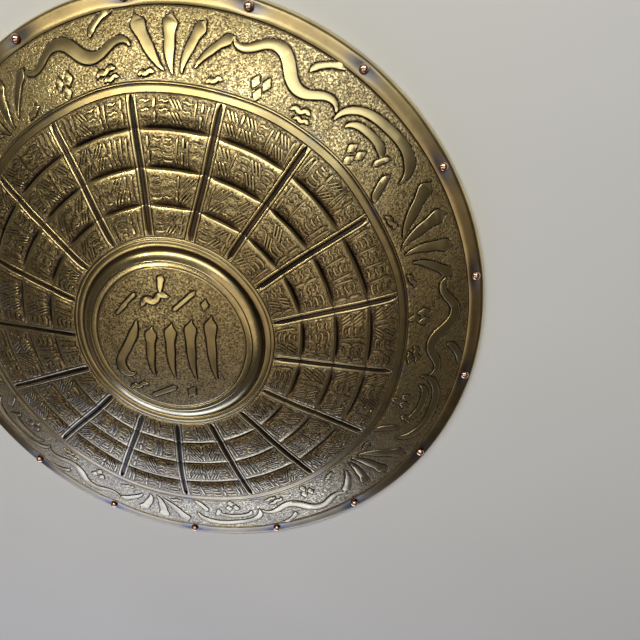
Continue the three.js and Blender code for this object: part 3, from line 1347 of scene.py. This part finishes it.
    def border(self) -> list[Ring]:
        """Works out the border, the rim, the turned-down lip, the hem and the back.

        Returns:
            The rings, from the border's inner edge over the face, round the lip and back again.
        """
        form = self.form
        ring_line, second_line, border_line = form.lines[5:8]
        middle = (form.ring_outer + form.border_outer) / 2.0
        count = form.sectors * round(form.sector * middle / self.border_step)
        stations = [ring_line.radius, ring_line.radius + 0.5] + self.line_stations(second_line)
        stations += spaced(second_line.radius + 0.4, border_line.radius - 0.5, self.border_step)
        stations += self.line_stations(border_line)
        rings = [Ring(radius, even_turns(count)) for radius in sorted(stations)]
        rim_count = form.sectors * 30
        rim = [form.border_outer + 1.2 * step for step in range(1, 8)]
        rim += [form.rim_flat_outer - 0.6, form.rim_flat_outer + 0.4]
        span = form.rim_radius - form.rim_flat_outer
        rim += [form.rim_flat_outer + span * math.sin(bend) for bend in np.linspace(0.35, 1.5, 8)]
        rings += [Ring(radius, even_turns(rim_count)) for radius in rim]
        edge = form.rim_radius
        lip = [(edge, 0.9), (edge - 0.25, 0.3), (edge - 0.8, 0.0), (edge - 3.8, 0.0), (edge - 4.4, 0.5)]
        under = form.rim_flat_height - form.rim_thickness
        lip += [(edge - 4.8, under - 6.2 * form.rim_slope), (form.rim_flat_inner, under)]
        lip += [(form.hem_inner + 0.4, under + 0.5), (form.hem_inner, under + 0.9)]
        for radius, height in lip:
            rings.append(Ring(radius, even_turns(form.sectors * 16), plain_height=height))
        for radius in (form.hem_inner, 224.0, 211.0, 198.0, ring_line.radius + 1.0, ring_line.radius):
            rings.append(Ring(radius, even_turns(form.sectors * 16), back=True))
        return rings


# ---------------------------------------------------------------------------------------------
# Finishes
# ---------------------------------------------------------------------------------------------


Colour = tuple[float, float, float]
Socket = bpy.types.NodeSocket


class Graph:
    """A material's node tree, filled by short calls."""

    def __init__(self, name: str) -> None:
        """Starts a material with an output and a Principled shader.

        Args:
            name: The material's name.
        """
        self.material = bpy.data.materials.new(name)
        self.material.use_nodes = True
        self.nodes = self.material.node_tree.nodes
        self.links = self.material.node_tree.links
        self.nodes.clear()
        output = self.nodes.new("ShaderNodeOutputMaterial")
        self.shader = self.nodes.new("ShaderNodeBsdfPrincipled")
        self.links.new(self.shader.outputs[0], output.inputs[0])
        self.place = self.nodes.new("ShaderNodeTexCoord").outputs["Object"]

    def put(self, socket: Socket, value: object) -> None:
        """Feeds a socket.

        Args:
            socket: The input to feed.
            value: An output to link to it, or a value to set it to.
        """
        if isinstance(value, Socket):
            self.links.new(value, socket)
        else:
            socket.default_value = value

    def attribute(self, name: str) -> Socket:
        """Reads one of the mesh's own values.

        Args:
            name: The attribute's name.

        Returns:
            Its value.
        """
        node = self.nodes.new("ShaderNodeAttribute")
        node.attribute_name = name
        return node.outputs["Fac"]

    def math(self, operation: str, left: object, right: object = 0.0, third: object = 0.0) -> Socket:
        """Does one sum.

        Args:
            operation: Blender's name for it.
            left: The first term.
            right: The second term.
            third: The third term, which only MULTIPLY_ADD reads.

        Returns:
            The result.
        """
        node = self.nodes.new("ShaderNodeMath")
        node.operation = operation
        for socket, value in zip(node.inputs, (left, right, third)):
            self.put(socket, value)
        return node.outputs[0]

    def stray(self, value: object, share: float, base: object) -> Socket:
        """The base, raised or lowered by a share of how far a value strays from a half."""
        return self.math("MULTIPLY_ADD", self.math("SUBTRACT", value, 0.5), share, base)

    def noise(self, scale: float, detail: float = 3.0, rough: float = 0.55, place: object = None) -> Socket:
        """Adds noise.

        Args:
            scale: How fine it is.
            detail: How many finer octaves it has.
            rough: How strong they are.
            place: The coordinates it lies on; the object's own where none are given.

        Returns:
            The noise, about a half.
        """
        node = self.nodes.new("ShaderNodeTexNoise")
        self.put(node.inputs["Vector"], place or self.place)
        node.inputs["Scale"].default_value = scale
        node.inputs["Detail"].default_value = detail
        node.inputs["Roughness"].default_value = rough
        return node.outputs["Fac"]

    def cells(self, scale: float) -> Socket:
        """Adds round cells, as punched stippling has.

        Args:
            scale: How fine they are.

        Returns:
            The distance from the middle of the nearest one.
        """
        node = self.nodes.new("ShaderNodeTexVoronoi")
        self.put(node.inputs["Vector"], self.place)
        node.inputs["Scale"].default_value = scale
        return node.outputs["Distance"]

    def span(self, value: object, low: float, high: float, to_low: float, to_high: float) -> Socket:
        """Moves a value from one range to another, and keeps it inside that.

        Args:
            value: The value.
            low: Where the old range starts.
            high: Where it ends.
            to_low: Where the new range starts.
            to_high: Where it ends.

        Returns:
            The moved value.
        """
        node = self.nodes.new("ShaderNodeMapRange")
        for name, number in zip(("From Min", "From Max", "To Min", "To Max"), (low, high, to_low, to_high)):
            node.inputs[name].default_value = number
        self.put(node.inputs["Value"], value)
        return node.outputs[0]

    def colours(self, value: object, stops: tuple[tuple[float, Colour], ...]) -> Socket:
        """Adds a colour ramp.

        Args:
            value: Where to read it.
            stops: Its positions and their colours.

        Returns:
            The colour.
        """
        node = self.nodes.new("ShaderNodeValToRGB")
        band = node.color_ramp
        while len(band.elements) < len(stops):
            band.elements.new(0.5)
        for element, (position, colour) in zip(band.elements, stops):
            element.position = position
            element.color = (*colour, 1.0)
        self.put(node.inputs[0], value)
        return node.outputs[0]

    def mix(self, share: object, first: object, second: object) -> Socket:
        """Mixes two colours.

        Args:
            share: How much of the second is taken.
            first: The first colour.
            second: The second colour.

        Returns:
            The mixed colour.
        """
        node = self.nodes.new("ShaderNodeMix")
        node.data_type = "RGBA"
        self.put(node.inputs["Factor"], share)
        for socket, value in zip((s for s in node.inputs if s.type == "RGBA"), (first, second)):
            self.put(socket, value)
        return next(s for s in node.outputs if s.type == "RGBA")

    def bump(self, height: object, distance: float, strength: float) -> None:
        """Roughens the surface.

        Args:
            height: The height, from 0 to about 1.
            distance: How many metres a height of 1 stands for.
            strength: How much of the effect is taken.
        """
        node = self.nodes.new("ShaderNodeBump")
        node.inputs["Strength"].default_value = strength
        node.inputs["Distance"].default_value = distance
        self.put(node.inputs["Height"], height)
        self.links.new(node.outputs[0], self.shader.inputs["Normal"])

    def polar(self, across: float, along: float) -> Socket:
        """Coordinates that follow the circle: distance from the axis, and angle.

        Args:
            across: How much the distance is stretched.
            along: How much the angle is stretched.

        Returns:
            The coordinates.
        """
        split = self.nodes.new("ShaderNodeSeparateXYZ")
        self.links.new(self.place, split.inputs[0])
        x, y = split.outputs[0], split.outputs[1]
        squares = self.math("ADD", self.math("MULTIPLY", x, x), self.math("MULTIPLY", y, y))
        radius = self.math("SQRT", squares)
        angle = self.math("ARCTAN2", y, self.math("ABSOLUTE", x))
        join = self.nodes.new("ShaderNodeCombineXYZ")
        self.put(join.inputs[0], self.math("MULTIPLY", radius, across))
        self.put(join.inputs[1], self.math("MULTIPLY", angle, along))
        self.put(join.inputs[2], self.math("SIGN", x))
        return join.outputs[0]


@dataclass(frozen=True)
class AntiqueBrass:
    """Brass darkened all over, then rubbed back to gold where it stands proud, and darkened by the painted
    shade that the relief value carries past each row groove.
    """

    name: str = "antique_brass"
    stops: tuple[tuple[float, Colour], ...] = (
        (0.0, (0.005, 0.004, 0.004)),
        (0.22, (0.025, 0.018, 0.012)),
        (0.45, (0.113, 0.077, 0.037)),
        (0.68, (0.330, 0.241, 0.102)),
        (0.88, (0.600, 0.472, 0.225)),
        (1.0, (0.840, 0.710, 0.360)),
    )
    dull_colour: tuple[float, float, float, float] = (0.15, 0.092, 0.062, 1.0)
    tint_colour: tuple[float, float, float, float] = (0.13, 0.135, 0.17, 1.0)
    patch_scale: float = 14.0
    smudge_scale: float = 75.0
    worm_scale: float = 430.0
    pit_scale: float = 560.0
    ground_wear: float = 0.62
    patina_rough: float = 0.5
    worn_rough: float = 0.3
    polished_rough: float = 0.13
    lacquer: float = 0.35
    lacquer_rough: float = 0.32
    grain_height: float = 0.0003
    grain_strength: float = 0.38

    def make(self) -> bpy.types.Material:
        """Builds the node tree.

        Returns:
            The material.
        """
        graph = Graph(self.name)
        relief, ground, tint = (graph.attribute(title) for title in ("relief", "ground", "tint"))
        patches = graph.noise(self.patch_scale, 4.0, 0.6)
        smudges = graph.noise(self.smudge_scale, 4.0, 0.6)
        pits = graph.span(graph.cells(self.pit_scale), 0.08, 0.62, 0.0, 1.0)
        veins = graph.math("ABSOLUTE", graph.math("SUBTRACT", graph.noise(self.worm_scale, 2.0, 0.5), 0.5))
        worms = graph.span(veins, 0.0, 0.075, 0.0, 1.0)
        brushed = graph.noise(1.0, 3.0, 0.6, graph.polar(1500.0, 14.0))
        speckle = graph.math("SUBTRACT", graph.math("ADD", pits, worms), 1.22)
        # relief carries patina and wear, and the painted shade past each row groove
        lift = graph.math("MULTIPLY_ADD", relief, 0.5, self.ground_wear)
        lift = graph.stray(patches, 0.34, lift)
        lift = graph.stray(smudges, 0.24, lift)
        lift = graph.stray(brushed, 0.08, lift)
        lift = graph.math("MULTIPLY_ADD", graph.math("MULTIPLY", ground, speckle), 0.3, lift)
        wear = graph.span(lift, 0.0, 1.0, 0.0, 1.0)
        browned = graph.span(patches, 0.45, 0.7, 0.0, 0.55)
        dull = graph.math("MULTIPLY", browned, graph.span(wear, 0.35, 0.85, 1.0, 0.0))
        colour = graph.mix(dull, graph.colours(wear, self.stops), self.dull_colour)
        stain = graph.math("MULTIPLY", tint, graph.span(smudges, 0.3, 0.6, 0.35, 1.0))
        graph.put(graph.shader.inputs["Base Color"], graph.mix(stain, colour, self.tint_colour))
        graph.shader.inputs["Metallic"].default_value = 1.0
        graph.shader.inputs["Coat Weight"].default_value = self.lacquer
        graph.shader.inputs["Coat Roughness"].default_value = self.lacquer_rough
        rough = graph.span(wear, 0.15, 0.85, self.patina_rough, self.worn_rough)
        polish = graph.span(wear, 0.86, 0.98, 0.0, self.worn_rough - self.polished_rough)
        rough = graph.stray(smudges, 0.12, graph.math("SUBTRACT", rough, polish))
        graph.put(graph.shader.inputs["Roughness"], graph.math("MULTIPLY_ADD", ground, 0.08, rough))
        grain = graph.math("MULTIPLY", ground, graph.math("MULTIPLY_ADD", worms, 0.8, pits))
        grain = graph.math("MULTIPLY_ADD", brushed, 0.03, grain)
        grain = graph.math("MULTIPLY_ADD", smudges, 0.1, grain)
        graph.bump(grain, self.grain_height, self.grain_strength)
        return graph.material


@dataclass(frozen=True)
class PolishedCopper:
    """Copper, bright on the crown of a rivet and dark at its foot."""

    name: str = "copper_rivet"
    stops: tuple[tuple[float, Colour], ...] = (
        (0.0, (0.012, 0.007, 0.005)),
        (0.3, (0.16, 0.06, 0.03)),
        (0.6, (0.62, 0.30, 0.17)),
        (1.0, (0.94, 0.62, 0.44)),
    )

    def make(self) -> bpy.types.Material:
        """Builds the node tree.

        Returns:
            The material.
        """
        graph = Graph(self.name)
        crown = graph.attribute("crown")
        smudges = graph.noise(420.0, 3.0, 0.6)
        wear = graph.stray(smudges, 0.5, crown)
        graph.put(graph.shader.inputs["Base Color"], graph.colours(wear, self.stops))
        graph.shader.inputs["Metallic"].default_value = 1.0
        graph.put(graph.shader.inputs["Roughness"], graph.span(wear, 0.1, 0.9, 0.45, 0.2))
        graph.bump(smudges, 0.0001, 0.4)
        return graph.material


@dataclass(frozen=True)
class PaleFloor:
    """The plain matt floor."""

    name: str = "pale_floor"
    stops: tuple[tuple[float, Colour], ...] = ((0.0, (0.78, 0.77, 0.76)), (1.0, (0.82, 0.81, 0.80)))
    rough: float = 0.85

    def make(self) -> bpy.types.Material:
        """Builds the node tree.

        Returns:
            The material.
        """
        graph = Graph(self.name)
        shade = graph.span(graph.noise(3.0, 2.0), 0.3, 0.7, 0.0, 1.0)
        graph.put(graph.shader.inputs["Base Color"], graph.colours(shade, self.stops))
        graph.shader.inputs["Roughness"].default_value = self.rough
        return graph.material


# ---------------------------------------------------------------------------------------------
# Pieces repeated by Geometry Nodes
# ---------------------------------------------------------------------------------------------


def bake_modifier(thing: bpy.types.Object, modifier: bpy.types.Modifier, name: str) -> bpy.types.Object:
    """Turns an object's Geometry Nodes result into a plain object at the origin.

    Args:
        thing: The object that carries the modifier; it is removed.
        modifier: Its Geometry Nodes modifier.
        name: The name of the new object.

    Returns:
        The plain object.
    """
    depsgraph = bpy.context.evaluated_depsgraph_get()
    mesh = bpy.data.meshes.new_from_object(thing.evaluated_get(depsgraph), depsgraph=depsgraph)
    thing.modifiers.remove(modifier)
    bpy.data.objects.remove(thing)
    mesh.name = name
    mesh.shade_smooth()
    mesh.set_sharp_from_angle(angle=math.radians(40.0))
    plain = bpy.data.objects.new(name, mesh)
    bpy.context.scene.collection.objects.link(plain)
    return plain


@dataclass
class Scatter:
    """Copies of one small mesh at given places, joined into one piece by Geometry Nodes."""

    name: str
    source: bpy.types.Object
    material: bpy.types.Material
    size: float = 1.0

    def tree(self) -> bpy.types.NodeTree:
        """Builds the node tree: instances on points, turned by their own angles, made real.

        Returns:
            The tree, with inputs Source, Size and Finish.
        """
        tree = bpy.data.node_groups.new(f"{self.name}_copies", "GeometryNodeTree")
        face = tree.interface
        face.new_socket("Geometry", in_out="INPUT", socket_type="NodeSocketGeometry")
        face.new_socket("Source", in_out="INPUT", socket_type="NodeSocketObject")
        face.new_socket("Size", in_out="INPUT", socket_type="NodeSocketFloat")
        face.new_socket("Finish", in_out="INPUT", socket_type="NodeSocketMaterial")
        face.new_socket("Geometry", in_out="OUTPUT", socket_type="NodeSocketGeometry")
        nodes, links = tree.nodes, tree.links
        given, result = nodes.new("NodeGroupInput"), nodes.new("NodeGroupOutput")
        source = nodes.new("GeometryNodeObjectInfo")
        turned = nodes.new("GeometryNodeInputNamedAttribute")
        turned.data_type = "FLOAT_VECTOR"
        turned.inputs["Name"].default_value = "turned"
        copies = nodes.new("GeometryNodeInstanceOnPoints")
        real = nodes.new("GeometryNodeRealizeInstances")
        finish = nodes.new("GeometryNodeSetMaterial")
        links.new(given.outputs["Geometry"], copies.inputs["Points"])
        links.new(given.outputs["Source"], source.inputs["Object"])
        links.new(source.outputs["Geometry"], copies.inputs["Instance"])
        links.new(turned.outputs["Attribute"], copies.inputs["Rotation"])
        links.new(given.outputs["Size"], copies.inputs["Scale"])
        links.new(copies.outputs["Instances"], real.inputs["Geometry"])
        links.new(real.outputs["Geometry"], finish.inputs["Geometry"])
        links.new(given.outputs["Finish"], finish.inputs["Material"])
        links.new(finish.outputs["Geometry"], result.inputs["Geometry"])
        return tree

    def build(self, places: list[Matrix]) -> bpy.types.Object:
        """Puts a copy at each place.

        Args:
            places: Where each copy stands, in metres.

        Returns:
            One plain object with every copy in its mesh.
        """
        points = bpy.data.meshes.new(f"{self.name}_points")
        points.from_pydata([tuple(place.to_translation()) for place in places], [], [])
        turned = points.attributes.new("turned", "FLOAT_VECTOR", "POINT")
        turned.data.foreach_set("vector", [angle for place in places for angle in place.to_euler()])
        carrier = bpy.data.objects.new(f"{self.name}_carrier", points)
        bpy.context.scene.collection.objects.link(carrier)
        modifier = carrier.modifiers.new("copies", "NODES")
        tree = self.tree()
        modifier.node_group = tree
        inputs = (item for item in tree.interface.items_tree if item.in_out == "INPUT")
        sockets = {item.name: item.identifier for item in inputs}
        modifier[sockets["Source"]] = self.source
        modifier[sockets["Size"]] = self.size
        modifier[sockets["Finish"]] = self.material
        piece = bake_modifier(carrier, modifier, self.name)
        bpy.data.objects.remove(self.source)
        return piece


@dataclass
class Rivets:
    """The domed copper rivets through the rim."""

    form: ShieldForm
    head_radius: float = 3.5
    head_height: float = 2.9
    shank_radius: float = 1.5
    tail_radius: float = 2.4
    tail_height: float = 1.1
    seat: float = -0.7
    sides: int = 28
    name: str = "rim_rivets"

    def profile(self) -> list[tuple[float, float]]:
        """Draws half of the rivet's outline.

        Returns:
            The radius and height of each point, from the crown of its head to the middle of its tail.
        """
        outline = []
        for turn in np.linspace(0.0, math.pi / 2.0, 8):
            height = 0.25 + (self.head_height - 0.25) * math.cos(turn)
            outline.append((self.head_radius * math.sin(turn), height))
        tail = -self.form.rim_thickness - 0.2
        outline += [(self.head_radius * 0.99, self.seat), (self.shank_radius, self.seat)]
        outline += [(self.shank_radius, tail), (self.tail_radius * 0.96, tail)]
        outline += [(self.tail_radius, tail - 0.4), (self.tail_radius * 0.8, tail - self.tail_height)]
        outline.append((0.0, tail - self.tail_height - 0.1))
        return outline

    def one(self) -> bpy.types.Object:
        """One rivet about its own Z axis, the top of the rim at zero.

        Returns:
            A closed mesh, with its crown value at each point.
        """
        outline = self.profile()
        points = [(0.0, 0.0, outline[0][1])]
        for radius, height in outline[1:-1]:
            for step in range(self.sides):
                angle = 2.0 * math.pi * step / self.sides
                points.append((radius * math.cos(angle), radius * math.sin(angle), height))
        points.append((0.0, 0.0, outline[-1][1]))
        faces: list[tuple[int, ...]] = []
        rows = len(outline) - 2
        for step in range(self.sides):
            after = (step + 1) % self.sides
            faces.append((0, 1 + step, 1 + after))
            for row in range(rows - 1):
                here, below = 1 + row * self.sides, 1 + (row + 1) * self.sides
                faces.append((here + step, below + step, below + after, here + after))
            last = 1 + (rows - 1) * self.sides
            faces.append((last + step, len(points) - 1, last + after))
        mesh = bpy.data.meshes.new("one_rivet")
        mesh.from_pydata([tuple(c * MM for c in point) for point in points], [], faces)
        crown = mesh.attributes.new("crown", "FLOAT", "POINT")
        crown.data.foreach_set("value", [min(1.0, max(0.0, 0.12 + 0.5 * z)) for _, _, z in points])
        rivet = bpy.data.objects.new("one_rivet", mesh)
        bpy.context.scene.collection.objects.link(rivet)
        return rivet

    def build(self, copper: bpy.types.Material) -> bpy.types.Object:
        """Sets every rivet in its hole.

        Args:
            copper: The rivets' material.

        Returns:
            One piece with all the rivets.
        """
        form = self.form
        height = form.rim_flat_height - form.rim_slope * (form.rivet_circle - form.rim_flat_inner)
        places = []
        for index in range(form.sectors):
            turn = Matrix.Rotation(form.first_angle + index * form.sector, 4, "Z")
            shift = Matrix.Translation((form.rivet_circle * MM, 0.0, height * MM))
            places.append(turn @ shift @ Matrix.Rotation(math.atan(form.rim_slope), 4, "Y"))
        return Scatter(self.name, self.one(), copper).build(places)

    def dress(self, piece: bpy.types.Object) -> None:
        """Rides the rivets on the body, in place of their solids.

        Args:
            piece: The finished piece.
        """
        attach(piece, BODY)
        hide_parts(*(f"rim_rivet_{index + 1:02d}" for index in range(self.form.sectors)))


# ---------------------------------------------------------------------------------------------
# The shield and its studio
# ---------------------------------------------------------------------------------------------


@dataclass
class Shield:
    """The brass body, made of four closed parts of one sheet, its raised strokes and its rivets."""

    form: ShieldForm
    section: RibbonSection = RibbonSection(height=0.5, outline_width=0.95)
    fine_section: RibbonSection = RibbonSection(height=0.36, outline_width=0.75, bevelled=False)

    def build(self) -> None:
        """Makes and dresses every piece of the shield."""
        brass, copper = AntiqueBrass().make(), PolishedCopper().make()
        work = StrokeWork(self.form, self.section, self.fine_section)
        for layer in (BorderStrokes(work), BossStrokes(work), PanelStrokes(work)):
            layer.lay()
        work.settle()
        for part in self.sheet_parts():
            piece = part.build(brass, work)
            part.dress(piece)
            self.report(piece)
        for group in work.placed:
            piece = work.build(group, brass)
            work.dress(piece)
            self.report(piece)
        rivets = Rivets(self.form)
        piece = rivets.build(copper)
        rivets.dress(piece)
        self.report(piece)

    def sheet_parts(self) -> tuple[SheetPart, ...]:
        """Divides the sheet, so that no piece has too many faces.

        Returns:
            The four parts, from the boss outwards.
        """
        rings = SheetRings(self.form)
        return (
            SheetPart(self.form, "boss", rings.boss(), pole=True),
            SheetPart(self.form, "inner_panels", rings.inner_panels()),
            SheetPart(self.form, "outer_panels", rings.outer_panels()),
            SheetPart(self.form, "border_and_rim", rings.border()),
        )

    def report(self, piece: bpy.types.Object) -> None:
        """Logs a finished piece and how many triangles it has."""
        triangles = sum(len(polygon.vertices) - 2 for polygon in piece.data.polygons)
        log.info("%s: %d triangles", piece.name, triangles)


@dataclass(frozen=True)
class Lamp:
    """A soft panel light that faces a point of the shield."""

    name: str
    place: tuple[float, float, float]
    aim: tuple[float, float, float]
    size: tuple[float, float]
    power: float
    colour: tuple[float, float, float]

    def light(self) -> None:
        """Hangs the light."""
        data = bpy.data.lights.new(self.name, "AREA")
        data.shape = "RECTANGLE"
        data.size, data.size_y = self.size
        data.energy = self.power
        data.color = self.colour
        lamp = bpy.data.objects.new(self.name, data)
        lamp.location = self.place
        lamp.rotation_euler = (Vector(self.aim) - Vector(self.place)).to_track_quat("-Z", "Y").to_euler()
        bpy.context.scene.collection.objects.link(lamp)


@dataclass(frozen=True)
class Studio:
    """Pale floor, soft lights and the camera."""

    floor_size: float = 6.0
    camera_place: tuple[float, float, float] = (0.1705, 0.1515, 0.4005)
    camera_ahead: tuple[float, float, float] = (-0.13347, -0.37289, -0.91823)
    camera_up: tuple[float, float, float] = (0.05365, 0.92244, -0.38240)
    lens: float = 28.3
    world: tuple[float, float, float, float] = (0.045, 0.040, 0.036, 1.0)

    def build(self) -> None:
        """Makes the floor, the lights and the camera."""
        self.lay_floor()
        self.hang_lights()
        self.set_camera()

    def lay_floor(self) -> None:
        """Lays the pale floor."""
        half = self.floor_size / 2.0
        mesh = bpy.data.meshes.new("floor")
        corners = [(-half, -half, 0), (half, -half, 0), (half, half, 0), (-half, half, 0)]
        mesh.from_pydata(corners, [], [(0, 1, 2, 3)])
        mesh.materials.append(PaleFloor().make())
        floor = bpy.data.objects.new("floor", mesh)
        bpy.context.scene.collection.objects.link(floor)

    def hang_lights(self) -> None:
        """Hangs a key, a side light, four small warm lamps, a cool low panel, a fill and an overhead."""
        key, warm, cool = (0.93, 0.99, 1.0), (1.0, 0.97, 0.80), (0.50, 0.61, 1.0)
        Lamp("key", (-0.05, 1.15, 1.3), (0.0, 0.1, 0.0), (1.1, 0.6), 1.8, key).light()
        Lamp("side", (0.58, 0.95, 1.2), (0.0, 0.0, 0.0), (0.7, 0.7), 5.6, key).light()
        for index in range(3):
            spot = (-0.72 + 0.34 * index, 0.95, 1.0)
            Lamp(f"lamp_{index + 1}", spot, (0.0, 0.0, 0.0), (0.03, 0.05), 2.0, warm).light()
        Lamp("crown", (-0.64, -0.11, 1.46), (0.0, 0.0, 0.0), (0.25, 0.25), 1.4, warm).light()
        Lamp("cool_panel", (-0.6, -1.6, 0.37), (0.0, 0.0, 0.02), (1.8, 0.7), 13.4, cool).light()
        Lamp("fill", (-0.75, -0.62, 1.4), (0.0, 0.0, 0.0), (0.9, 0.9), 0.6, (1.0, 0.80, 0.52)).light()
        Lamp("overhead", (0.5, -0.2, 2.2), (0.0, 0.0, 0.0), (1.6, 1.6), 6.0, (1.0, 0.86, 0.72)).light()
        world = bpy.data.worlds.new("studio")
        world.use_nodes = True
        world.node_tree.nodes["Background"].inputs["Color"].default_value = self.world
        bpy.context.scene.world = world
        bpy.context.scene.view_settings.view_transform = "Standard"

    def set_camera(self) -> None:
        """Places the camera close in front of the face, its picture turned as a hand would hold it."""
        ahead, up = Vector(self.camera_ahead).normalized(), Vector(self.camera_up)
        right = ahead.cross(up).normalized()
        up = right.cross(ahead)
        turned = Matrix((right, up, -ahead)).transposed().to_4x4()
        data = bpy.data.cameras.new("camera")
        data.lens = self.lens
        data.clip_start = 0.01
        camera = bpy.data.objects.new("camera", data)
        camera.matrix_world = Matrix.Translation(self.camera_place) @ turned
        bpy.context.scene.collection.objects.link(camera)
        bpy.context.scene.camera = camera


def main() -> None:
    """Builds the shield and its studio."""
    logging.basicConfig(level=logging.INFO, format="%(message)s")
    low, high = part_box(BODY_NODE)
    form = ShieldForm(rim_radius=(high[0] - low[0]) / 2.0 / MM, boss_top=high[2] / MM)
    Shield(form).build()
    Studio().build()


if __name__ == "__main__":
    main()
